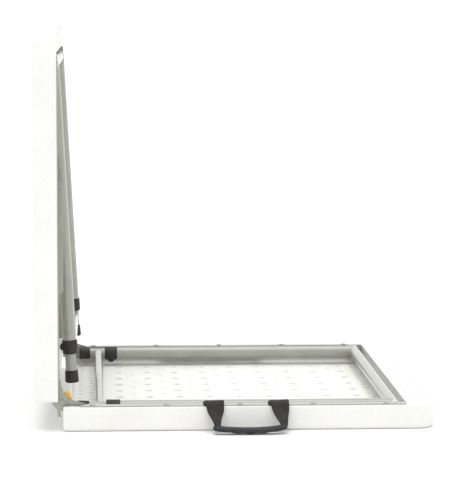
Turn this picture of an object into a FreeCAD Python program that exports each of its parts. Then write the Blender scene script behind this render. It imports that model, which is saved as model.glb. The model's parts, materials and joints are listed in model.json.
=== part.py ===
import FreeCAD, Part
import math
import os

# A fold-in-half table, stored half open: half A lies tabletop down on the floor with its legs
# folded into its underside, and half B stands upright on the fold hinge at A's left end.
# Millimetres. The origin is the middle of half A's tabletop face, on the floor; +X runs to A's
# outer end, +Y to the back, +Z up. The carry handle hangs on the front (-Y) side of half A.
#
# Every half is drawn in its own "half frame": u is the distance from the fold axis along the
# half, y is across it, and w is the height above its tabletop face.

V = FreeCAD.Vector
X, Y, Z = V(1, 0, 0), V(0, 1, 0), V(0, 0, 1)

# ---- table halves
HALF_LENGTH = 610.0
DEPTH = 610.0
THICKNESS = 40.0
FLOOR = 10.0  # thickness of the double wall under the recess
END_GAP = 2.0  # from the fold axis to each half's end face
AXIS_RISE = 6.0  # the fold axis stands this far above the rims
CORNER_R = 30.0
FOLD_CORNER_R = 6.0
TOP_EDGE_R = 5.5
RIM_EDGE_R = 2.5
SIDE_RIM = 14.0
END_RIM = 46.0
FOLD_RIM = 12.0
RECESS_R = 1.5

X_AXIS = -HALF_LENGTH / 2 - END_GAP
W_AXIS = THICKNESS + AXIS_RISE
U_END = END_GAP + HALF_LENGTH
Y_WALL = DEPTH / 2 - SIDE_RIM  # inner face of each side rim

# ---- steel side rails, one along each side rim
RAIL_START = 30.0
RAIL_END = U_END - 48.0
RAIL_THICK = 2.0
RAIL_BOTTOM, RAIL_TOP = 20.0, THICKNESS + RAIL_THICK
RAIL_EDGE = DEPTH / 2 - RIM_EDGE_R  # outer edge of the flange that lies on the rim
RAIL_CORNER_R = 4.0
Y_RAIL = Y_WALL - 0.5  # outer face of the web
Y_WEB = Y_RAIL - RAIL_THICK  # inner face of the web
SCREW_STEP = 120.0
FIRST_SCREW = 50.0
SCREW_HEAD_R = 4.5
SCREW_SHANK_R = 2.0
SCREW_HEAD_HEIGHT, SCREW_LENGTH = 1.0, 8.0

# ---- leg frames
LEG_W = THICKNESS - 7.0  # height of the folded leg's axis
PIVOT_U = 547.0
LEG_Y = {"a": 266.0, "b": 242.0}  # the frames have different widths, so they pass each other
LEAN = {"a": 0.0, "b": 3.2}  # degrees that the hanging leg frame stands off its half
UPPER_R, UPPER_WALL = 11.0, 1.0
LOWER_R, LOWER_WALL = 9.2, 1.2
BAR_R, BAR_WALL = 10.0, 2.5
CROSSBAR_R, CROSSBAR_U = 8.0, 60.0
FOOT_U, FOOT_LENGTH, FOOT_SOLE = 24.0, 20.0, 4.0
FOOT_R, FOOT_TOP_R = 11.4, 10.6
COLLAR_U, COLLAR_LENGTH, COLLAR_R, COLLAR_LIP = 72.0, 23.0, 12.5, 4.0
LOWER_TOP_U = 345.0
BAR_HALF = 283.0
TUBE_STOP = 3.0  # the upper tubes stop this far short of the top bar's axis
AXLE_R, AXLE_HALF, PLUG_LENGTH = 6.0, Y_RAIL - 0.1, 14.0
BUSH_R, BUSH_BARREL_R, BUSH_THICK = 11.0, 6.9, 3.0
RUNNING = 0.05  # radial clearance of every turning or sliding fit
HOLE_R, HOLE_STEP, FIRST_HOLE = 3.8, 30.0, 83.5

# ---- push button in each collar
BUTTON_R, BUTTON_OUT, BUTTON_IN = 3.5, 16.5, 13.0
BOSS_R, BOSS_OUT, POCKET_FLOOR = 6.0, 14.9, 11.2
BUTTON_U = COLLAR_U + COLLAR_LENGTH / 2

# ---- folding brace beside each leg: a rail link and a leg link, joined at an elbow
RIVET_U = PIVOT_U - 185.0  # where the brace meets the folded leg
BRACE_U = PIVOT_U - 240.0  # where the brace meets the rail
LINK_HALF_WIDTH, LINK_THICK = 7.5, 2.4
LINK_GAP = 0.3
Y_RAIL_LINK = Y_WEB - LINK_GAP - LINK_THICK  # inner face of the rail link
Y_LEG_LINK = Y_RAIL_LINK - LINK_GAP - LINK_THICK  # inner face of the leg link
PIN_R = 3.0
SPACER_R = 5.0

# ---- fold hinge
HINGE_PLATE = 2.0
Y_PLATE = {"a": Y_WEB - 4.3, "b": Y_WEB - HINGE_PLATE}  # inner face of each hinge plate
KNUCKLE_R = 9.0
POCKET_IN, POCKET_LENGTH = 279.0, 17.0
HINGE_HEAD_R = 4.2
LOCK_U, LOCK_W, LOCK_R = 14.0, 45.5, 4.0
LOCK_TIP_U, LOCK_TIP_W = 8.5, 58.0
LOCK_OUT, LOCK_IN = Y_PLATE["a"] - 0.3, Y_PLATE["a"] - 4.4
LOCK_PIN_R = 2.0

# ---- carry handle
STRAP_SPACING = 105.0
STRAP_WIDTH, STRAP_TIP_WIDTH, STRAP_THICK = 30.0, 16.0, 2.0
LOOP_HEIGHT = 5.5
HANDLE_Y, HANDLE_Z = -DEPTH / 2 - 1.0, THICKNESS + 1.5  # swing axis, at the rim's outer edge
GRIP_LENGTH, GRIP_HEIGHT, GRIP_DEPTH = 120.0, 14.0, 19.0
GRIP_Y, GRIP_Z = -335.0, 8.0


def place_a(shape):
    """Move a shape from the half frame to half A, lying tabletop down."""
    shape = shape.copy()
    shape.translate(V(X_AXIS, 0, 0))
    return shape


def place_b(shape):
    """Move a shape from the half frame to half B, standing on the fold hinge."""
    shape = shape.copy()
    shape.rotate(V(), Z, 180)
    shape.rotate(V(), Y, 90)
    shape.translate(V(X_AXIS - W_AXIS, 0, W_AXIS))
    return shape


PLACE = {"a": place_a, "b": place_b}
# half B is turned end for end, so its front side is on the half frame's +y side
SIDE = {"a": {"front": -1, "rear": 1}, "b": {"front": 1, "rear": -1}}


def save(name, *shapes):
    shape = shapes[0] if len(shapes) == 1 else Part.makeCompound(list(shapes))
    shape.exportStep("parts/" + name + ".step")


def box(u0, u1, y0, y1, w0, w1):
    low = V(u0, min(y0, y1), w0)
    return Part.makeBox(u1 - u0, abs(y1 - y0), w1 - w0, low)


def rod_u(radius, u0, u1, y, w=LEG_W):
    """A round bar along the half."""
    return Part.makeCylinder(radius, u1 - u0, V(u0, y, w), X)


def rod_y(radius, y0, y1, u, w):
    """A round bar across the half."""
    return Part.makeCylinder(radius, abs(y1 - y0), V(u, min(y0, y1), w), Y)


def tube_u(radius, wall, u0, u1, y):
    return rod_u(radius, u0, u1, y).cut(rod_u(radius - wall, u0 - 1, u1 + 1, y))


def plate(points, side, inner, thick):
    """A flat plate standing lengthways on one side, from (u, w) corner points."""
    y = side * inner
    corners = [V(u, y, w) for u, w in points]
    face = Part.Face(Part.makePolygon(corners + corners[:1]))
    return face.extrude(V(0, side * thick, 0))


def edges_where(shape, test):
    return [e for e in shape.Edges if test(e.BoundBox)]


def vertical(u, tolerance=0.01):
    """A test for edges that stand upright at one distance from the fold axis."""

    def test(b):
        return b.ZLength > 1 and b.XLength < tolerance and abs(b.XMin - u) < tolerance

    return test


# ---- pieces of each half


def screw_places():
    count = int((RAIL_END - FIRST_SCREW) // SCREW_STEP) + 1
    y = (Y_WALL + DEPTH / 2) / 2
    return [(FIRST_SCREW + i * SCREW_STEP, s * y) for i in range(count) for s in (-1, 1)]


def rail_screws():
    """Pan-head screws through each rail's flange into the rim under it."""
    screws = []
    base = RAIL_TOP
    for u, y in screw_places():
        head = Part.makeCylinder(SCREW_HEAD_R, SCREW_HEAD_HEIGHT, V(u, y, base))
        head = head.makeFillet(0.6, edges_where(head, lambda b: b.ZMin > base + 0.9))
        shank = Part.makeCylinder(SCREW_SHANK_R, SCREW_LENGTH, V(u, y, base - SCREW_LENGTH))
        screws.append(head.fuse(shank).removeSplitter())
    return screws


def top_panel():
    """A blow-moulded half: a slab with a raised rim round the recess that the legs fold into."""
    body = box(END_GAP, U_END, -DEPTH / 2, DEPTH / 2, 0, THICKNESS)
    body = body.makeFillet(CORNER_R, edges_where(body, vertical(U_END)))
    body = body.makeFillet(FOLD_CORNER_R, edges_where(body, vertical(END_GAP)))
    body = body.makeFillet(TOP_EDGE_R, edges_where(body, lambda b: b.ZMax < 0.01))
    body = body.makeFillet(RIM_EDGE_R, edges_where(body, lambda b: b.ZMin > THICKNESS - 0.01))
    recess = box(END_GAP + FOLD_RIM, U_END - END_RIM, -Y_WALL, Y_WALL, FLOOR, THICKNESS + 1)
    recess = recess.makeFillet(RECESS_R, edges_where(recess, vertical(U_END - END_RIM)))
    body = body.cut(recess)
    for s in (-1, 1):
        pocket = box(0, POCKET_LENGTH, s * POCKET_IN, s * Y_WALL, FLOOR, THICKNESS + 1)
        body = body.cut(pocket)
    return body.cut(Part.makeCompound(rail_screws()))


def pivot_hole(side, radius, y0, y1):
    return rod_y(radius, side * y0, side * y1, PIVOT_U, LEG_W)


def side_rail(side):
    """An L-shaped steel rail: its web carries the leg pivot and the brace, its flange the screws."""
    web = box(RAIL_START, RAIL_END, side * Y_WEB, side * Y_RAIL, RAIL_BOTTOM, RAIL_TOP)
    flange = box(RAIL_START, RAIL_END, side * Y_WEB, side * RAIL_EDGE, THICKNESS, RAIL_TOP)
    rail = web.fuse(flange).removeSplitter()
    corners = edges_where(
        rail,
        lambda b: b.ZLength > 1 and b.XLength < 0.01 and side * b.Center.y > RAIL_EDGE - 0.01,
    )
    rail = rail.makeFillet(RAIL_CORNER_R, corners)
    rail = rail.cut(pivot_hole(side, BUSH_BARREL_R, Y_WEB - 1, Y_RAIL + 1))
    rail = rail.cut(rod_y(PIN_R, side * (Y_WEB - 1), side * (Y_RAIL + 1), BRACE_U, LEG_W))
    return rail.cut(Part.makeCompound(rail_screws()))


def pivot_bush(side):
    """A white plastic bush in the rail's web, that the leg frame's axle turns in."""
    flange = pivot_hole(side, BUSH_R, Y_WEB - BUSH_THICK, Y_WEB)
    barrel = pivot_hole(side, BUSH_BARREL_R, Y_WEB, Y_RAIL)
    bore = pivot_hole(side, AXLE_R + RUNNING, Y_WEB - BUSH_THICK - 1, Y_RAIL + 1)
    return flange.fuse(barrel).cut(bore)


def brace_rivet(side):
    """The pin in the rail that the brace's rail link turns on."""
    return rod_y(PIN_R, side * Y_RAIL, side * (Y_RAIL_LINK + 0.1), BRACE_U, LEG_W)


# ---- fold hinge


def knuckle(half, side):
    inner = Y_PLATE[half]
    return rod_y(KNUCKLE_R, side * inner, side * (inner + HINGE_PLATE), 0, W_AXIS)


def hinge_plate_a(side):
    """A gusset on the rail that reaches up to the fold axis, on two pads that clear plate B."""
    outline = [(-5, 39), (3, 28), (15, 20), (62, 20), (62, 38), (40, 42), (16, 50), (6, 53)]
    shape = plate(outline, side, Y_PLATE["a"], HINGE_PLATE).fuse(knuckle("a", side))
    outer = Y_PLATE["a"] + HINGE_PLATE
    for u in (42.0, 56.0):
        shape = shape.fuse(rod_y(5, side * (outer - 0.5), side * Y_WEB, u, 29.0))
    shape = shape.cut(hinge_pin(side)).cut(lock_pin(side))
    return shape.removeSplitter()


def hinge_plate_b(side):
    """A gusset on B's rail, with the stop tongue that rests along half A when the table is flat."""
    outline = [
        (62, 20),
        (62, 38),
        (25, 46),
        (13, 51),
        (4, 57),
        (-4, 52),
        (-13, 44),
        (-24, 44),
        (-24, 38.5),
        (-13, 38.5),
        (-4, 31),
        (8, 26),
        (15, 20),
    ]
    shape = plate(outline, side, Y_PLATE["b"], HINGE_PLATE).fuse(knuckle("b", side))
    bore_in, bore_out = side * (Y_PLATE["b"] - 1), side * (Y_PLATE["b"] + 4)
    shape = shape.cut(rod_y(PIN_R + RUNNING, bore_in, bore_out, 0, W_AXIS))
    return shape.removeSplitter()


def hinge_pin(side):
    """A headed rivet along the fold axis, fast in plate A and running in plate B."""
    inner, outer = Y_PLATE["a"], Y_PLATE["b"] + HINGE_PLATE + 0.3
    shank = rod_y(PIN_R, side * inner, side * outer, 0, W_AXIS)
    inner_head = rod_y(HINGE_HEAD_R, side * (inner - 1.6), side * inner, 0, W_AXIS)
    outer_head = rod_y(HINGE_HEAD_R, side * outer, side * (outer + 1.4), 0, W_AXIS)
    return shank.fuse([inner_head, outer_head]).removeSplitter()


def lock_pin(side):
    inner, outer = LOCK_IN - 0.5, Y_PLATE["a"] + HINGE_PLATE
    return rod_y(LOCK_PIN_R, side * inner, side * outer, LOCK_U, LOCK_W)


def hinge_lock(side):
    """A yellow plastic catch beside the hinge, pushed over by a thumb to free the stop tongue."""
    ends = [(LOCK_U, LOCK_W), (LOCK_TIP_U, LOCK_TIP_W)]
    y0, y1 = side * LOCK_IN, side * LOCK_OUT
    shape = link_bar(ends, LOCK_R, y0, y1)
    thumb = rod_y(LOCK_R + 1.2, y0, y1, LOCK_TIP_U, LOCK_TIP_W - 0.5)
    shape = shape.fuse(thumb).removeSplitter()
    return shape.cut(rod_y(LOCK_PIN_R + RUNNING, y0 - 20, y1 + 20, LOCK_U, LOCK_W))


# ---- leg frames, drawn folded flat against the half and then turned by the lean


def leaned(half, shape):
    shape = shape.copy()
    shape.rotate(V(PIVOT_U, 0, LEG_W), Y, LEAN[half])
    return shape


def pivot_bar(half):
    """The frame's top bar, a tube from rail to rail that both legs are welded to."""
    bar = rod_y(BAR_R, -BAR_HALF, BAR_HALF, PIVOT_U, LEG_W)
    return bar.cut(rod_y(BAR_R - BAR_WALL, -BAR_HALF - 1, BAR_HALF + 1, PIVOT_U, LEG_W))


def axle_stub(side):
    """A stepped plug pressed into the end of the top bar, whose nose turns in the rail's bush."""
    inner = side * (BAR_HALF - PLUG_LENGTH)
    plug = rod_y(BAR_R - BAR_WALL, inner, side * BAR_HALF, PIVOT_U, LEG_W)
    nose = rod_y(AXLE_R, side * BAR_HALF, side * AXLE_HALF, PIVOT_U, LEG_W)
    return plug.fuse(nose).removeSplitter()


def upper_tube(half, side):
    y = side * LEG_Y[half]
    tube = tube_u(UPPER_R, UPPER_WALL, COLLAR_U + COLLAR_LIP, PIVOT_U - TUBE_STOP, y)
    return tube.cut(rod_y(BAR_R, -BAR_HALF, BAR_HALF, PIVOT_U, LEG_W))


def leg_spacer(half, side):
    """The stub on the leg that the brace's leg link is riveted to."""
    y = side * LEG_Y[half]
    stub = rod_y(SPACER_R, y, side * (Y_LEG_LINK - LINK_GAP), RIVET_U, LEG_W)
    return stub.cut(rod_u(UPPER_R, RIVET_U - 20, RIVET_U + 20, y))


def radial(half, side, radius, inner, outer):
    """A round bar pointing from the leg's axis towards the recess floor."""
    start = V(BUTTON_U, side * LEG_Y[half], LEG_W - outer)
    return Part.makeCylinder(radius, outer - inner, start, Z)


def collar(half, side):
    """A plastic sleeve on the end of the upper tube, guiding the lower tube."""
    y = side * LEG_Y[half]
    end = COLLAR_U + COLLAR_LENGTH
    body = rod_u(COLLAR_R, COLLAR_U, end, y)
    body = body.makeFillet(1.5, edges_where(body, lambda b: b.XLength < 0.01))
    body = body.fuse(radial(half, side, BOSS_R, 0, BOSS_OUT))
    body = body.cut(rod_u(LOWER_R + RUNNING, COLLAR_U - 1, end + 1, y))
    body = body.cut(rod_u(UPPER_R, COLLAR_U + COLLAR_LIP, end + 1, y))
    return body.cut(radial(half, side, BUTTON_R + RUNNING, POCKET_FLOOR, BOSS_OUT + 1))


def push_button(half, side):
    return radial(half, side, BUTTON_R, BUTTON_IN, BUTTON_OUT)


def lower_tube(half, side):
    """The sliding leg tube, with the row of height holes that the button drops into."""
    y = side * LEG_Y[half]
    tube = tube_u(LOWER_R, LOWER_WALL, FOOT_U + FOOT_SOLE, LOWER_TOP_U, y)
    holes = []
    u = FIRST_HOLE
    while u < LOWER_TOP_U - 60:
        holes.append(Part.makeCylinder(HOLE_R, LOWER_R + 2, V(u, y, LEG_W - LOWER_R - 2), Z))
        u += HOLE_STEP
    return tube.cut(Part.makeCompound(holes))


def lower_crossbar(half):
    y = LEG_Y[half]
    bar = rod_y(CROSSBAR_R, -y, y, CROSSBAR_U, LEG_W)
    bar = bar.cut(rod_y(CROSSBAR_R - LOWER_WALL, -y - 1, y + 1, CROSSBAR_U, LEG_W))
    for s in (-1, 1):
        bar = bar.cut(rod_u(LOWER_R, CROSSBAR_U - 20, CROSSBAR_U + 20, s * y))
    return max(bar.Solids, key=lambda s: s.Volume)


def foot_cap(half, side):
    y = side * LEG_Y[half]
    cap = Part.makeCone(FOOT_R, FOOT_TOP_R, FOOT_LENGTH, V(FOOT_U, y, LEG_W), X)
    cap = cap.makeFillet(2.0, edges_where(cap, lambda b: b.XMax < FOOT_U + 0.01))
    return cap.cut(rod_u(LOWER_R, FOOT_U + FOOT_SOLE, FOOT_U + FOOT_LENGTH + 1, y))


# ---- folding braces


def brace_joints(half):
    """The leg rivet and the elbow, each as (u, w), with the leg frame at its lean."""
    lean = math.radians(LEAN[half])
    arm = PIVOT_U - RIVET_U
    rivet = (PIVOT_U - arm * math.cos(lean), LEG_W + arm * math.sin(lean))
    open_span = math.hypot(PIVOT_U - BRACE_U, arm)
    rail_link = (open_span - (RIVET_U - BRACE_U)) / 2
    leg_link = open_span - rail_link
    du, dw = rivet[0] - BRACE_U, rivet[1] - LEG_W
    span = math.hypot(du, dw)
    cosine = (rail_link**2 + span**2 - leg_link**2) / (2 * rail_link * span)
    angle = math.atan2(dw, du) + math.acos(max(-1.0, cosine))
    elbow = (BRACE_U + rail_link * math.cos(angle), LEG_W + rail_link * math.sin(angle))
    return {"rivet": rivet, "elbow": elbow}


def link_bar(ends, half_width, y0, y1):
    """A flat bar with round ends between two (u, w) points."""
    (u0, w0), (u1, w1) = ends
    length = math.hypot(u1 - u0, w1 - w0)
    low, thick = min(y0, y1), abs(y1 - y0)
    bar = Part.makeBox(length, thick, 2 * half_width, V(0, low, -half_width))
    bar = bar.fuse([rod_y(half_width, y0, y1, 0, 0), rod_y(half_width, y0, y1, length, 0)])
    bar = bar.removeSplitter()
    bar.rotate(V(), Y, -math.degrees(math.atan2(w1 - w0, u1 - u0)))
    bar.translate(V(u0, 0, w0))
    return bar


def rail_link(half, side):
    elbow = brace_joints(half)["elbow"]
    y0, y1 = side * Y_RAIL_LINK, side * (Y_RAIL_LINK + LINK_THICK)
    bar = link_bar([(BRACE_U, LEG_W), elbow], LINK_HALF_WIDTH, y0, y1)
    bar = bar.cut(rod_y(PIN_R + RUNNING, y0 - 20, y1 + 20, BRACE_U, LEG_W))
    return bar.cut(elbow_rivet(half, side))


def elbow_rivet(half, side):
    """A flush rivet, fast in the rail link and running in the leg link."""
    elbow = brace_joints(half)["elbow"]
    outer = Y_RAIL_LINK + LINK_THICK - 0.1
    return rod_y(PIN_R, side * (Y_LEG_LINK + 0.1), side * outer, *elbow)


def leg_link(half, side):
    joints = brace_joints(half)
    y0, y1 = side * Y_LEG_LINK, side * (Y_LEG_LINK + LINK_THICK)
    bar = link_bar([joints["rivet"], joints["elbow"]], LINK_HALF_WIDTH, y0, y1)
    return bar.cut(rod_y(PIN_R + RUNNING, y0 - 20, y1 + 20, *joints["elbow"]))


def link_end_rivet(half, side):
    """The rivet head at the leg end of the brace."""
    rivet = brace_joints(half)["rivet"]
    outer = Y_LEG_LINK + LINK_THICK
    return rod_y(SPACER_R, side * outer, side * (outer + 1.5), *rivet)


# ---- carry handle, drawn in place


def strap_loop(x):
    """The webbing where it comes round the rail and over the rim."""
    length = DEPTH / 2 - Y_WEB - 0.4
    low = V(x - STRAP_WIDTH / 2, 0.2 - DEPTH / 2, RAIL_TOP + 0.2)
    block = Part.makeBox(STRAP_WIDTH, length, LOOP_HEIGHT, low)
    top = edges_where(block, lambda b: b.ZMin > RAIL_TOP + LOOP_HEIGHT and b.XLength > 1)
    return block.makeFillet(4.0, top)


def handle_strap(x):
    """The webbing from the rim down to the grip, narrowing as it goes into it."""
    top_y, top_z = HANDLE_Y, HANDLE_Z - 1.0
    end_y, end_z = GRIP_Y + 3.0, GRIP_Z + GRIP_HEIGHT / 2
    along = V(0, end_y - top_y, end_z - top_z)
    across = V(0, along.z, -along.y).normalize() * (STRAP_THICK / 2)
    faces = []
    for y, z, width in ((top_y, top_z, STRAP_WIDTH), (end_y, end_z, STRAP_TIP_WIDTH)):
        corners = []
        for sx, sn in ((-1, -1), (1, -1), (1, 1), (-1, 1)):
            corners.append(V(x + sx * width / 2, y, z) + across * sn)
        faces.append(Part.makePolygon(corners + corners[:1]))
    return Part.makeLoft(faces, True, True)


def handle_grip():
    grip = Part.makeBox(
        GRIP_LENGTH,
        GRIP_DEPTH,
        GRIP_HEIGHT,
        V(-GRIP_LENGTH / 2, GRIP_Y - GRIP_DEPTH / 2, GRIP_Z - GRIP_HEIGHT / 2),
    )
    return grip.makeFillet(5.0, grip.Edges)


def make_half(half):
    place = PLACE[half]
    sides = SIDE[half]
    both = list(sides.values())
    save("top_panel_" + half, place(top_panel()))
    save("rail_screws_" + half, *[place(s) for s in rail_screws()])
    save("pivot_bushes_" + half, *[place(pivot_bush(s)) for s in both])
    save("brace_rivets_" + half, *[place(brace_rivet(s)) for s in both])
    for word, side in sides.items():
        save("side_rail_" + half + "_" + word, place(side_rail(side)))


def make_leg_frame(half):
    def put(shape):
        return PLACE[half](leaned(half, shape))

    sides = SIDE[half]
    both = list(sides.values())
    save("pivot_bar_" + half, put(pivot_bar(half)))
    save("axle_stubs_" + half, *[put(axle_stub(s)) for s in both])
    save("lower_crossbar_" + half, put(lower_crossbar(half)))
    save("leg_collars_" + half, *[put(collar(half, s)) for s in both])
    save("leg_spacers_" + half, *[put(leg_spacer(half, s)) for s in both])
    save("foot_caps_" + half, *[put(foot_cap(half, s)) for s in both])
    for word, side in sides.items():
        end = half + "_" + word
        save("upper_tube_" + end, put(upper_tube(half, side)))
        save("lower_tube_" + end, put(lower_tube(half, side)))
        save("push_button_" + end, put(push_button(half, side)))


def make_braces(half):
    place = PLACE[half]
    for word, side in SIDE[half].items():
        end = half + "_" + word
        save("rail_link_" + end, place(rail_link(half, side)))
        save("leg_link_" + end, place(leg_link(half, side)))
    both = list(SIDE[half].values())
    save("elbow_rivets_" + half, *[place(elbow_rivet(half, s)) for s in both])
    save("link_end_rivets_" + half, *[place(link_end_rivet(half, s)) for s in both])


def make_fold_hinge():
    for word, side in SIDE["a"].items():
        save("hinge_plate_a_" + word, place_a(hinge_plate_a(side)))
        save("hinge_lock_" + word, place_a(hinge_lock(side)))
    for word, side in SIDE["b"].items():
        save("hinge_plate_b_" + word, place_b(hinge_plate_b(side)))
    save("hinge_pins", *[place_a(hinge_pin(s)) for s in (-1, 1)])
    save("lock_pins", *[place_a(lock_pin(s)) for s in (-1, 1)])


def make_handle():
    places = {"left": -STRAP_SPACING / 2, "right": STRAP_SPACING / 2}
    straps = {word: handle_strap(x) for word, x in places.items()}
    grip = handle_grip()
    for word, x in places.items():
        save("handle_strap_" + word, straps[word].cut(grip))
    save("strap_loops", *[strap_loop(x) for x in places.values()])
    save("handle_grip", grip)


os.makedirs("parts", exist_ok=True)
for name in ("a", "b"):
    make_half(name)
    make_leg_frame(name)
    make_braces(name)
make_fold_hinge()
make_handle()
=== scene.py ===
import json
import math

import bmesh
import bpy
from mathutils import Matrix, Vector


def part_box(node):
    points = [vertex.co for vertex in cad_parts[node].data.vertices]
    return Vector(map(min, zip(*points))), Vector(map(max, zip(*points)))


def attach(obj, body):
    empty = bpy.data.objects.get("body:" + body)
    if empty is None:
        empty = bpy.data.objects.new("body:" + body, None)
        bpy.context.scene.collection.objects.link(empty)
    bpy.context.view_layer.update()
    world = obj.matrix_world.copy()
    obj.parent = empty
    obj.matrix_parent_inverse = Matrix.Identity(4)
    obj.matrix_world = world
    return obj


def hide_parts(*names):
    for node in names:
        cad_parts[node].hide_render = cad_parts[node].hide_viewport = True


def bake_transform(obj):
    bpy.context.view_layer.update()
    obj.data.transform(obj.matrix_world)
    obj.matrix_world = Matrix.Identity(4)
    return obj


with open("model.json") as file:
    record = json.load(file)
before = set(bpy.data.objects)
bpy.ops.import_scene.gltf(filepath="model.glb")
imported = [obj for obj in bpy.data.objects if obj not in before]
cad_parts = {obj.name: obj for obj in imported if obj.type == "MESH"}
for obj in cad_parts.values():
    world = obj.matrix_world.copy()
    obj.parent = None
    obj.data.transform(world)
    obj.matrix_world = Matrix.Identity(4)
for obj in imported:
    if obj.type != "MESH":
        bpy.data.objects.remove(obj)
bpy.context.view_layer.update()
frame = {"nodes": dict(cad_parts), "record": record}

MM = 0.001

# ---------------------------------------------------------------- camera and light

CAMERA_PLACE = (-0.2489, -3.6238, 0.6898)
YAW, PITCH, ROLL = math.radians(3.84), math.radians(6.744), math.radians(0.257)
SENSOR_WIDTH, LENS = 36.0, 149.4
CLIP_START, CLIP_END = 0.1, 200.0
WORLD_COLOUR, WORLD_STRENGTH = (1.0, 1.0, 0.995, 1), 1.04
SUN_COLOUR, SUN_STRENGTH, SUN_ANGLE = (1.0, 0.995, 0.985), 1.35, math.radians(48)
SUN_TILT = (math.radians(2), math.radians(-2), 0)


def make_camera():
    """The photo's view: in front of the fold end, level with half B's top, looking a bit down."""
    forward = Vector(
        (math.sin(YAW) * math.cos(PITCH), math.cos(YAW) * math.cos(PITCH), -math.sin(PITCH))
    )
    level = Vector((math.cos(YAW), -math.sin(YAW), 0))
    upright = level.cross(forward)
    right = level * math.cos(ROLL) + upright * math.sin(ROLL)
    up = upright * math.cos(ROLL) - level * math.sin(ROLL)
    data = bpy.data.cameras.new("camera")
    data.sensor_width = SENSOR_WIDTH
    data.lens = LENS
    data.clip_start, data.clip_end = CLIP_START, CLIP_END
    camera = bpy.data.objects.new("camera", data)
    turn = Matrix((right, up, -forward)).transposed().to_4x4()
    camera.matrix_world = Matrix.Translation(CAMERA_PLACE) @ turn
    bpy.context.scene.collection.objects.link(camera)
    bpy.context.scene.camera = camera


def make_light():
    """An even white surround, and one broad soft lamp from above."""
    scene = bpy.context.scene
    scene.view_settings.view_transform = "Standard"
    world = bpy.data.worlds.new("studio")
    world.use_nodes = True
    background = world.node_tree.nodes["Background"]
    background.inputs["Color"].default_value = WORLD_COLOUR
    background.inputs["Strength"].default_value = WORLD_STRENGTH
    scene.world = world
    lamp = bpy.data.lights.new("softbox", "SUN")
    lamp.energy = SUN_STRENGTH
    lamp.angle = SUN_ANGLE
    lamp.color = SUN_COLOUR
    softbox = bpy.data.objects.new("softbox", lamp)
    softbox.rotation_euler = SUN_TILT
    scene.collection.objects.link(softbox)


# ---------------------------------------------------------------- materials

YARN = 2.4  # millimetres of webbing from one crossing of its yarns to the next


class Shader:
    """A material's node tree, with short ways to add what most of these finishes share."""

    def __init__(self, name, roughness, metallic=0.0, **sockets):
        self.material = bpy.data.materials.new(name)
        self.material.use_nodes = True
        self.tree = self.material.node_tree
        self.surface = self.tree.nodes["Principled BSDF"]
        self.surface.inputs["Roughness"].default_value = roughness
        self.surface.inputs["Metallic"].default_value = metallic
        for socket, value in sockets.items():
            self.surface.inputs[socket.replace("_", " ")].default_value = value
        place = self.tree.nodes.new("ShaderNodeTexCoord")
        self.place = place.outputs["Object"]
        self.uv = place.outputs["UV"]

    def node(self, kind, inputs=None, **settings):
        made = self.tree.nodes.new("ShaderNode" + kind)
        for key, value in settings.items():
            setattr(made, key, value)
        for key, value in (inputs or {}).items():
            if isinstance(value, bpy.types.NodeSocket):
                self.tree.links.new(value, made.inputs[key])
            else:
                made.inputs[key].default_value = value
        return made

    def noise(self, size, detail=3.0, stretch=None):
        """Noise whose blobs are about size metres across, drawn out along stretch if it's given."""
        vector = self.place
        if stretch:
            vector = self.node("Mapping", {"Vector": vector, "Scale": stretch}).outputs["Vector"]
        inputs = {"Vector": vector, "Scale": 1.0 / size, "Detail": detail, "Roughness": 0.55}
        return self.node("TexNoise", inputs).outputs["Fac"]

    def blend(self, fac, low, high):
        """A colour between low and high; fac's usual spread of 0.3 to 0.7 covers the whole way."""
        ramp = self.node("ValToRGB", {"Fac": fac})
        ramp.color_ramp.elements[0].position = 0.3
        ramp.color_ramp.elements[1].position = 0.7
        ramp.color_ramp.elements[0].color = (*low, 1)
        ramp.color_ramp.elements[1].color = (*high, 1)
        return ramp.outputs["Color"]

    def spread(self, fac, low, high):
        inputs = {"Value": fac, "From Min": 0.3, "From Max": 0.7, "To Min": low, "To Max": high}
        return self.node("MapRange", inputs).outputs["Result"]

    def multiply(self, colour, other, share):
        mix = self.node("Mix", data_type="RGBA", blend_type="MULTIPLY")
        mix.inputs["Factor"].default_value = share
        self.tree.links.new(colour, mix.inputs[6])
        self.tree.links.new(other, mix.inputs[7])
        return mix.outputs[2]

    def bump(self, height, distance, strength, after=None):
        inputs = {"Height": height, "Distance": distance, "Strength": strength}
        if after:
            inputs["Normal"] = after
        return self.node("Bump", inputs).outputs["Normal"]

    def finish(self, colour, roughness, normal):
        for socket, value in (("Base Color", colour), ("Roughness", roughness), ("Normal", normal)):
            if value is not None:
                self.tree.links.new(value, self.surface.inputs[socket])
        return self.material


def white_hdpe():
    """Blow-moulded polyethylene: a pebbled skin, faintly mottled, with light scuffs."""
    s = Shader("white_hdpe", 0.45, Specular_IOR_Level=0.35)
    mottled = s.blend(s.noise(0.07), (0.815, 0.812, 0.790), (0.850, 0.847, 0.826))
    fine = s.blend(s.noise(0.004), (0.965, 0.965, 0.96), (1, 1, 1))
    colour = s.multiply(mottled, fine, 1.0)
    scuffs = s.spread(s.noise(0.012, 5.0, (1, 0.16, 0.5)), 0.36, 0.58)
    pebbles = s.node("TexVoronoi", {"Vector": s.place, "Scale": 700.0, "Randomness": 0.9})
    skin = s.bump(pebbles.outputs["Distance"], 0.0002, 0.35)
    return s.finish(colour, scuffs, s.bump(s.noise(0.03), 0.0008, 0.12, skin))


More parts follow.
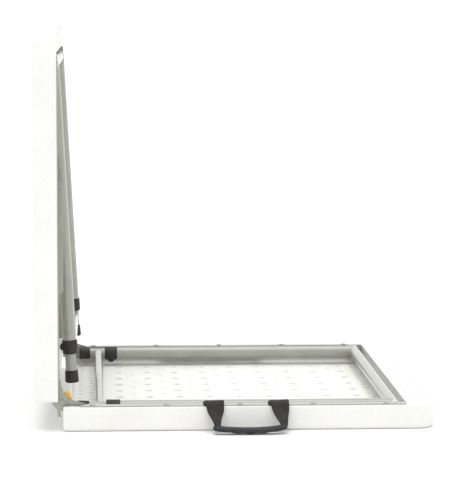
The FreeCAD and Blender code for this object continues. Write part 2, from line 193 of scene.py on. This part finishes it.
def silver_coat():
    """Satin silver-grey powder coat: metal flake, orange peel and rubbed patches."""
    s = Shader("silver_coat", 0.34, 0.05, Coat_Weight=1.0, Coat_Roughness=0.1)
    base = s.blend(s.noise(0.05, 4.0), (0.318, 0.322, 0.286), (0.364, 0.368, 0.330))
    flake = s.blend(s.noise(0.0008, 1.0), (0.88, 0.88, 0.88), (1, 1, 1))
    colour = s.multiply(base, flake, 1.0)
    rubbed = s.spread(s.noise(0.02, 5.0), 0.28, 0.44)
    return s.finish(colour, rubbed, s.bump(s.noise(0.0022, 2.0), 0.0002, 0.25))


def zinc_steel():
    """Zinc plate, passivated a little unevenly, with fine drawing marks."""
    s = Shader("zinc_steel", 0.35, 0.6)
    colour = s.blend(s.noise(0.006, 4.0), (0.27, 0.27, 0.26), (0.38, 0.38, 0.365))
    marks = s.noise(0.0009, 2.0, (1, 6, 1))
    return s.finish(colour, s.spread(marks, 0.28, 0.46), s.bump(marks, 0.0001, 0.3))


def moulded(name, low, high, roughness, grain, grip=0.0):
    """A moulded plastic with a spark-eroded texture, duller where it has been rubbed."""
    s = Shader(name, roughness, Specular_IOR_Level=0.35)
    colour = s.blend(s.noise(0.015, 4.0), low, high)
    dulled = s.spread(s.noise(0.008, 4.0), roughness - 0.07, roughness + 0.1)
    skin = s.bump(s.noise(grain, 2.0), 0.0002, 0.35 + grip)
    return s.finish(colour, dulled, skin)


def webbing():
    """Woven polypropylene: rows of flat yarns in a plain weave, from a UV map in millimetres."""
    s = Shader("webbing", 0.75, Sheen_Weight=0.06, Specular_IOR_Level=0.25)
    weave = s.node(
        "TexBrick",
        {
            "Vector": s.uv,
            "Color1": (0.046, 0.043, 0.039, 1),
            "Color2": (0.031, 0.029, 0.027, 1),
            "Mortar": (0.006, 0.006, 0.006, 1),
            "Scale": 1.0,
            "Mortar Size": 0.12,
            "Mortar Smooth": 0.6,
            "Brick Width": YARN,
            "Row Height": YARN / 2,
        },
    )
    faded = s.blend(s.noise(0.009, 4.0), (0.72, 0.72, 0.72), (1.25, 1.22, 1.18))
    colour = s.multiply(weave.outputs["Color"], faded, 1.0)
    yarns = s.node("Math", {0: 1.0, 1: weave.outputs["Fac"]}, operation="SUBTRACT")
    fibres = s.bump(s.noise(0.0004, 2.0), 0.0001, 0.5)
    return s.finish(colour, None, s.bump(yarns.outputs[0], 0.0003, 0.8, fibres))


def make_materials():
    return {
        "white_hdpe": white_hdpe(),
        "silver_coat": silver_coat(),
        "zinc_steel": zinc_steel(),
        "webbing": webbing(),
        "black_plastic": moulded(
            "black_plastic", (0.022, 0.021, 0.019), (0.032, 0.031, 0.028), 0.5, 0.0009
        ),
        "white_plastic": moulded(
            "white_plastic", (0.78, 0.78, 0.75), (0.86, 0.86, 0.84), 0.38, 0.002
        ),
        "yellow_plastic": moulded(
            "yellow_plastic", (0.78, 0.40, 0.030), (0.88, 0.50, 0.060), 0.36, 0.0015
        ),
        "grip_plastic": moulded(
            "grip_plastic", (0.017, 0.018, 0.021), (0.027, 0.028, 0.033), 0.55, 0.0012, 0.2
        ),
    }


# ---------------------------------------------------------------- mesh helpers


def make_object(name, bm, material, sharp=35.0):
    """A new piece from a bmesh, smooth but for edges sharper than sharp degrees."""
    bmesh.ops.recalc_face_normals(bm, faces=bm.faces)
    for face in bm.faces:
        face.smooth = True
    mesh = bpy.data.meshes.new(name)
    bm.to_mesh(mesh)
    bm.free()
    mesh.set_sharp_from_angle(angle=math.radians(sharp))
    mesh.materials.append(material)
    piece = bpy.data.objects.new(name, mesh)
    bpy.context.scene.collection.objects.link(piece)
    return piece


def weighted_normals(piece):
    normals = piece.modifiers.new("normals", "WEIGHTED_NORMAL")
    normals.keep_sharp = True


def add_loop(bm, points):
    return [bm.verts.new(p) for p in points]


def loop_edges(bm, loop):
    edges = []
    for a, b in zip(loop, loop[1:] + loop[:1]):
        edges.append(bm.edges.get((a, b)) or bm.edges.new((a, b)))
    return edges


def skin_loops(bm, loops):
    """Quads from each loop of vertices to the next, which has as many."""
    for low, high in zip(loops, loops[1:]):
        for i in range(len(low)):
            j = (i + 1) % len(low)
            bm.faces.new((low[i], low[j], high[j], high[i]))


def quarter_round(steps):
    """(1 - sin, 1 - cos) at even steps of a quarter turn, for rounding off an edge."""
    for i in range(steps + 1):
        a = math.pi / 2 * i / steps
        yield 1 - math.sin(a), 1 - math.cos(a)


# ---------------------------------------------------------------- moulded top panels
# Millimetres: s runs along a half from its fold end, y across it, and w up from its tabletop.

FOLD_RIM, END_RIM, SIDE_RIM = 12.0, 46.0, 14.0
FLOOR_W, COVE = 10.0, 8.0  # the recess floor, and the radius where its walls meet it
FOLD_CORNER, END_CORNER, RECESS_CORNER = 6.0, 30.0, 1.5
FACE_EDGE, RIM_EDGE, WALL_EDGE = 5.5, 1.7, 1.6
CORNER_STEPS, EDGE_STEPS, WALL_STEPS, COVE_STEPS = 8, 5, 3, 5
SMALLEST_CORNER = 0.4

# dimples as (radius, depth), and the rows that they stand in
DEEP, SHALLOW, END_DIMPLE, RIM_DIMPLE = (7.5, 7.5), (4.0, 3.0), (5.5, 4.5), (4.8, 4.0)
DIMPLE_SIDES = 16
FLOOR_START, FLOOR_PITCH, FLOOR_SPACING = 94.0, 52.0, 60.0
FOLD_END_ROWS, FAR_END_ROW = (26.0, 44.0, 62.0), 74.0
END_SPACING, END_REACH = 30.0, 262.0
RIM_ROWS, RIM_SPACING, RIM_REACH = (35.0, 22.0, 9.5), 28.0, 258.0

# the pockets at the fold end, where the hinge plates stand
POCKET_START, POCKET_END = -2.0, 15.0
POCKET_IN, POCKET_OUT = 279.0, 290.9
POCKET_LIFT, POCKET_OVER = 0.05, 2.0


def rounded_outline(s0, s1, half, r_fold, r_end):
    """A rectangle from s0 to s1, half wide each way, with its own radius at each end."""
    corners = (
        (s1 - r_end, half - r_end, r_end, 0),
        (s0 + r_fold, half - r_fold, r_fold, 90),
        (s0 + r_fold, -half + r_fold, r_fold, 180),
        (s1 - r_end, -half + r_end, r_end, 270),
    )
    points = []
    for cs, cy, r, start in corners:
        for i in range(CORNER_STEPS + 1):
            a = math.radians(start + 90 * i / CORNER_STEPS)
            points.append((cs + r * math.cos(a), cy + r * math.sin(a)))
    return points


def dimple_profile(radius, depth):
    """(radius, depth) from the rim of a tack-off dimple down to its flat bottom."""
    shares = ((1.0, 0.0), (0.97, 0.03), (0.95, 0.10), (0.86, 0.72), (0.74, 0.94), (0.5, 1.0))
    return [(radius * r, depth * d) for r, d in shares]


def staggered(row, spacing, count, reach):
    """Places across a row, up to count spacings and reach out; odd rows are half a spacing on."""
    places = [spacing * (k + row % 2 / 2) for k in range(-count, count + 1)]
    return [y for y in places if abs(y) < reach]


def floor_dimples(length):
    """(s, y, radius, depth): rows of deep dimples, shallow ones between, dense at both ends."""
    places = []
    for i in range(9):
        for k in range(-4, 5):
            places.append((FLOOR_START + FLOOR_PITCH * i, FLOOR_SPACING * k, *DEEP))
    for i in range(8):
        for k in range(-4, 4):
            s, y = FLOOR_START + FLOOR_PITCH * (i + 0.5), FLOOR_SPACING * (k + 0.5)
            places.append((s, y, *SHALLOW))
    for row, s in enumerate((*FOLD_END_ROWS, length - FAR_END_ROW)):
        places += [(s, y, *END_DIMPLE) for y in staggered(row, END_SPACING, 8, END_REACH)]
    return places


def rim_dimples(length):
    """(s, y, radius, depth): staggered rows of tack-offs along the wide end rim."""
    places = []
    for row, inset in enumerate(RIM_ROWS):
        across = staggered(row, RIM_SPACING, 9, RIM_REACH)
        places += [(length - inset, y, *RIM_DIMPLE) for y in across]
    return places


def cut_pockets(panel, half, place, thick, material):
    """Cuts the two pockets for the hinge plates out of the panel's fold end."""
    cutter = bmesh.new()
    for side in (-1, 1):
        corners = []
        for s in (POCKET_START, POCKET_END):
            for y in sorted((side * POCKET_IN, side * POCKET_OUT)):
                for w in (FLOOR_W + POCKET_LIFT, thick + POCKET_OVER):
                    corners.append(cutter.verts.new(place(s, y, w)))
        bmesh.ops.convex_hull(cutter, input=corners)
    pockets = make_object("pockets_" + half, cutter, material)
    cut = panel.modifiers.new("pockets", "BOOLEAN")
    cut.operation, cut.solver, cut.object = "DIFFERENCE", "EXACT", pockets
    graph = bpy.context.evaluated_depsgraph_get()
    panel.data = bpy.data.meshes.new_from_object(panel.evaluated_get(graph))
    panel.modifiers.clear()
    bpy.data.objects.remove(pockets)


def top_panel(half, material):
    """A blow-moulded half: skin, rims, recess and its tack-off dimples, as one closed mesh."""
    low, high = (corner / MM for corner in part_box("top_panel_" + half))
    width = (high.y - low.y) / 2
    length, thick = (high.x - low.x, high.z - low.z)
    if half == "b":
        length, thick = thick, length

    def place(s, y, w):
        if half == "a":
            return Vector((low.x + s, y, low.z + w)) * MM
        return Vector((low.x + w, -y, low.z + s)) * MM

    bm = bmesh.new()

    def outline_at(inset, w):
        r_fold = max(FOLD_CORNER - inset, 0.5)
        r_end = max(END_CORNER - inset, 0.5)
        ring = rounded_outline(inset, length - inset, width - inset, r_fold, r_end)
        return add_loop(bm, [place(s, y, w) for s, y in ring])

    def recess_at(offset, w):
        ring = rounded_outline(
            FOLD_RIM - offset,
            length - END_RIM + offset,
            width - SIDE_RIM + offset,
            max(1.0 + offset, SMALLEST_CORNER),
            max(RECESS_CORNER + offset, SMALLEST_CORNER),
        )
        return add_loop(bm, [place(s, y, w) for s, y in ring])

    def dimple(s, y, radius, depth, top):
        loops = []
        for r, d in dimple_profile(radius, depth):
            ring = []
            for i in range(DIMPLE_SIDES):
                a = 2 * math.pi * i / DIMPLE_SIDES
                ring.append(place(s + r * math.cos(a), y + r * math.sin(a), top - d))
            loops.append(add_loop(bm, ring))
        skin_loops(bm, loops)
        bm.faces.new(loops[-1])
        return loops[0]

    outer = [outline_at(FACE_EDGE * p, FACE_EDGE * q) for p, q in quarter_round(EDGE_STEPS)]
    outer += [outline_at(RIM_EDGE * q, thick - RIM_EDGE * p) for p, q in quarter_round(EDGE_STEPS)]
    skin_loops(bm, outer)
    bm.faces.new(outer[0])

    wall = [recess_at(WALL_EDGE * p, thick - WALL_EDGE * q) for p, q in quarter_round(WALL_STEPS)]
    wall += [recess_at(-COVE * q, FLOOR_W + COVE * p) for p, q in quarter_round(COVE_STEPS)]
    skin_loops(bm, wall)

    rim_holes = [dimple(*d, thick) for d in rim_dimples(length)]
    floor_holes = [dimple(*d, FLOOR_W) for d in floor_dimples(length)]
    for border, holes in (([outer[-1], wall[0]], rim_holes), ([wall[-1]], floor_holes)):
        edges = []
        for loop in border + holes:
            edges += loop_edges(bm, loop)
        bmesh.ops.triangle_fill(bm, use_beauty=True, edges=edges)
    panel = make_object("moulded_panel_" + half, bm, material, sharp=40.0)
    cut_pockets(panel, half, place, thick, material)
    weighted_normals(panel)
    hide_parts("top_panel_" + half)
    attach(panel, "half_" + half)


# ---------------------------------------------------------------- carry handle

RIM_Y = -306.0  # just outside half A's front rim
WEBBING_THICK, RIBBON_COLUMNS, YARN_RISE = 1.9, 20, 0.12

GRIP_SHIFT = -2.9  # the photo's grip hangs a little to the left of its CAD solid
GRIP_STEPS, GRIP_SIDES, GRIP_SQUARENESS = 72, 28, 0.75
END_HEIGHT, END_TILT, BOW_HEIGHT = 10.1, 0.8, 4.9  # the grip's centre line above its lowest point
GROOVE_PITCH, GROOVE_REACH, GROOVE_DEPTH = 22.0, 44.0, 1.1


def catmull_rom(a, b, c, d, t):
    """The value at t from b to c, with a before them and d after."""
    return 0.5 * (
        2 * b
        + (c - a) * t
        + (2 * a - 5 * b + 4 * c - d) * t * t
        + (3 * b - a - 3 * c + d) * t**3
    )


def smooth_path(points, steps):
    """Catmull-Rom through the points; each point is a tuple of any length."""
    path = []
    last = len(points) - 1
    for i in range(last):
        p0, p1 = points[max(i - 1, 0)], points[i]
        p2, p3 = points[i + 1], points[min(i + 2, last)]
        for k in range(steps):
            path.append(tuple(catmull_rom(*values, k / steps) for values in zip(p0, p1, p2, p3)))
    path.append(tuple(points[-1]))
    return path


def ribbon(name, stations, thick, material):
    """Flat webbing along stations of (x, y, z, width, tilt in degrees), in millimetres."""
    bm = bmesh.new()
    uv = bm.loops.layers.uv.new("UVMap")
    coords, rows = {}, []
    run = 0.0
    for i, (x, y, z, width, tilt) in enumerate(stations):
        before, after = stations[max(i - 1, 0)], stations[min(i + 1, len(stations) - 1)]
        along = Vector(after[:3]) - Vector(before[:3])
        if i:
            run += (Vector((x, y, z)) - Vector(stations[i - 1][:3])).length
        along.normalize()
        across = Matrix.Rotation(math.radians(tilt), 3, along) @ Vector((1, 0, 0))
        across = (across - along * across.dot(along)).normalized()
        normal = across.cross(along).normalized()
        row = []
        for face in (1, -1):
            for k in range(RIBBON_COLUMNS + 1):
                column = k / RIBBON_COLUMNS
                share = (column if face > 0 else 1 - column) * 2 - 1
                edge = math.sqrt(max(0.0, 1 - abs(share) ** 14))
                phase = math.pi if k % 2 else 0
                rib = YARN_RISE * math.sin(run * 2 * math.pi / YARN + phase)
                height = face * (thick / 2 * (0.35 + 0.65 * edge) + rib * edge)
                offset = across * (share * width / 2) + normal * height
                vert = bm.verts.new((Vector((x, y, z)) + offset) * MM)
                coords[vert] = (share * width / 2, run)
                row.append(vert)
        rows.append(row)
    skin_loops(bm, rows)
    bm.faces.new(rows[0])
    bm.faces.new(rows[-1])
    for face in bm.faces:
        for loop in face.loops:
            loop[uv].uv = coords[loop.vert]
    return make_object(name, bm, material, sharp=60.0)


def handle_webbing(word, x, drift, tip, replaced, material):
    """One side's webbing, from the rail over the rim down to the grip.

    It starts at x, ends drift to the right of that, and narrows to tip.
    """
    points = (
        (x - 1.6, RIM_Y + 16.1, 43.4, 29.5, 0.0),
        (x - 1.4, RIM_Y + 15.7, 45.0, 29.5, 1.0),
        (x - 1.0, RIM_Y + 14.0, 46.7, 30.0, 2.0),
        (x - 0.5, RIM_Y + 10.5, 47.5, 30.0, 2.0),
        (x, RIM_Y + 5.5, 46.8, 30.0, 2.0),
        (x, RIM_Y + 0.6, 43.8, 29.5, 1.0),
        (x + 0.1 * drift, RIM_Y - 2.6, 38.5, 28.5, 0.0),
        (x + 0.3 * drift, RIM_Y - 7.5, 31.5, 25.5, 0.0),
        (x + 0.6 * drift, RIM_Y - 15.0, 23.5, tip + 7.0, 0.0),
        (x + 0.9 * drift, RIM_Y - 22.5, 17.0, tip + 1.5, 0.0),
        (x + drift, RIM_Y - 27.0, 12.5, tip, 0.0),
    )
    strap = ribbon("webbing_" + word, smooth_path(points, 10), WEBBING_THICK, material)
    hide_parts(*replaced)
    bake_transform(strap)
    folded = (  # the webbing's left edge, doubled over where it lies on the rail
        (x - 15.5, RIM_Y + 1.4, 42.6, 4.0, 0.0),
        (x - 16.2, RIM_Y + 3.4, 43.8, 5.6, 0.0),
        (x - 16.6, RIM_Y + 7.0, 44.9, 6.2, 0.0),
        (x - 16.2, RIM_Y + 10.6, 45.2, 5.4, 0.0),
        (x - 15.4, RIM_Y + 13.0, 44.8, 3.4, 0.0),
    )
    fold = ribbon("webbing_fold_" + word, smooth_path(folded, 6), 2 * WEBBING_THICK, material)
    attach(fold, "half_a")


def grip(material):
    """The moulded hand grip: a bowed bar with finger grooves beneath and blunt ends."""
    low, high = (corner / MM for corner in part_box("handle_grip"))
    middle_y = (low.y + high.y) / 2
    half = (high.x - low.x) / 2
    bm = bmesh.new()
    loops = []
    for i in range(GRIP_STEPS + 1):
        t = -math.cos(math.pi * i / GRIP_STEPS)
        x = t * half
        bow = 1 - t * t
        z = low.z + (END_HEIGHT + END_TILT * t) * (1 - bow) + BOW_HEIGHT * bow
        blunt = 0.45 + 0.55 * math.sqrt(max(0.0, 1 - abs(t) ** 16))
        tall = (4.3 + 0.7 * bow) * blunt
        deep = (7.2 + 1.6 * bow) * blunt
        ring = []
        for k in range(GRIP_SIDES):
            a = 2 * math.pi * k / GRIP_SIDES
            c, s = math.cos(a), math.sin(a)
            py = math.copysign(abs(c) ** GRIP_SQUARENESS, c) * deep
            pz = math.copysign(abs(s) ** GRIP_SQUARENESS, s) * tall
            if s < 0 and abs(x) < GROOVE_REACH:
                groove = 0.5 - 0.5 * math.cos(2 * math.pi * x / GROOVE_PITCH)
                pz -= s * GROOVE_DEPTH * groove * (1 - (x / GROOVE_REACH) ** 4)
            ring.append(Vector((x + GRIP_SHIFT, middle_y + py, z + pz)) * MM)
        loops.append(add_loop(bm, ring))
    skin_loops(bm, loops)
    bm.faces.new(loops[0])
    bm.faces.new(loops[-1])
    piece = make_object("hand_grip", bm, material, sharp=60.0)
    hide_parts("handle_grip")
    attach(piece, "handle")


# ---------------------------------------------------------------- studio floor

GROUND_SIZE, GROUND_CELLS = 60.0, 8


def make_floor():
    """The studio floor, which is no part of the object."""
    ground = bmesh.new()
    bmesh.ops.create_grid(
        ground, x_segments=GROUND_CELLS, y_segments=GROUND_CELLS, size=GROUND_SIZE
    )
    look = Shader("studio_floor", 0.8)
    tint = look.blend(look.noise(0.5), (0.86, 0.86, 0.857), (0.87, 0.87, 0.867))
    mesh = bpy.data.meshes.new("floor")
    ground.to_mesh(mesh)
    ground.free()
    mesh.materials.append(look.finish(tint, None, None))
    floor = bpy.data.objects.new("floor", mesh)
    bpy.context.scene.collection.objects.link(floor)


# ---------------------------------------------------------------- the scene

make_camera()
make_light()
MATERIALS = make_materials()
for part in frame["record"]["subparts"]:
    mesh = frame["nodes"][part["node"]].data
    mesh.materials.clear()
    mesh.materials.append(MATERIALS[part["material_slot"]])

for half in ("a", "b"):
    top_panel(half, MATERIALS["white_hdpe"])
for word, x, drift, tip in (("left", -58.2, 2.8, 10.5), ("right", 47.9, 5.0, 12.0)):
    replaced = ["handle_strap_" + word, "strap_loops"]
    handle_webbing(word, x, drift, tip, replaced, MATERIALS["webbing"])
grip(MATERIALS["grip_plastic"])
make_floor()
